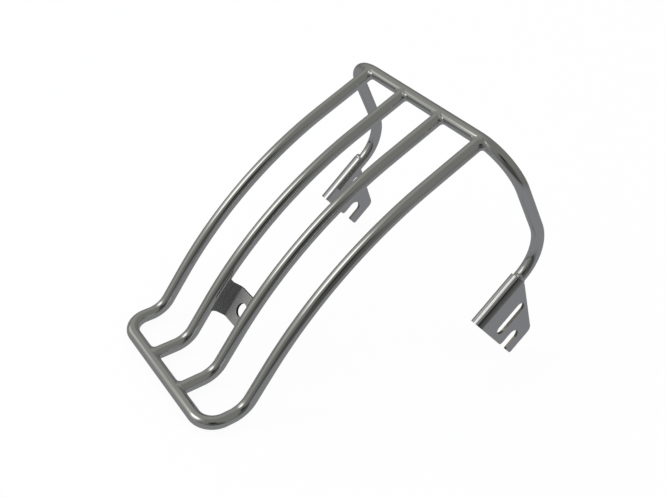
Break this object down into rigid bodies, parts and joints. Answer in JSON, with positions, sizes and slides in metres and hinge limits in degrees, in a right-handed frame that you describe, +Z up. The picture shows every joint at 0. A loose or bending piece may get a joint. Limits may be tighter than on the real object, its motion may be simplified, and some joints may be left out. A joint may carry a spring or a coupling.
{
  "type": "motorcycle luggage rack",
  "caption": "Welded round-bar rack: an arched platform of rails over the mudguard, a front hoop down to slotted side brackets and a holed bracket between the rails.",
  "frame": {"origin": "on the floor under the middle of the rack's box, the rack standing on its tail bar and on the prongs of both side brackets", "axes": "+X to the vehicle's right, +Y to its front, +Z up as the rack stands on the floor; fitted to the vehicle the rack is turned back about X by 29.9 degrees so that the front of the platform lies level"},
  "size_m": [0.278, 0.3591, 0.241],
  "materials": {
    "bar": "polished",
    "sheet": "polished over rolled sheet",
    "weld": "polished, slightly rippled"
  },
  "bodies": {
    "root": {"front_hoop": "bar", "outer_frame": "bar", "inner_rail_left": "bar", "inner_rail_right": "bar", "centre_bracket": "sheet", "side_bracket_left": "sheet", "side_bracket_right": "sheet", "front_weld_outer_left": "weld", "front_weld_inner_left": "weld", "front_weld_inner_right": "weld", "front_weld_outer_right": "weld", "tail_weld_left": "weld", "tail_weld_right": "weld", "centre_weld_left": "weld", "centre_weld_right": "weld", "arm_weld_left": "weld", "arm_weld_right": "weld", "grip_weld_left": "weld", "grip_weld_right": "weld"}
  },
  "joints": []
}
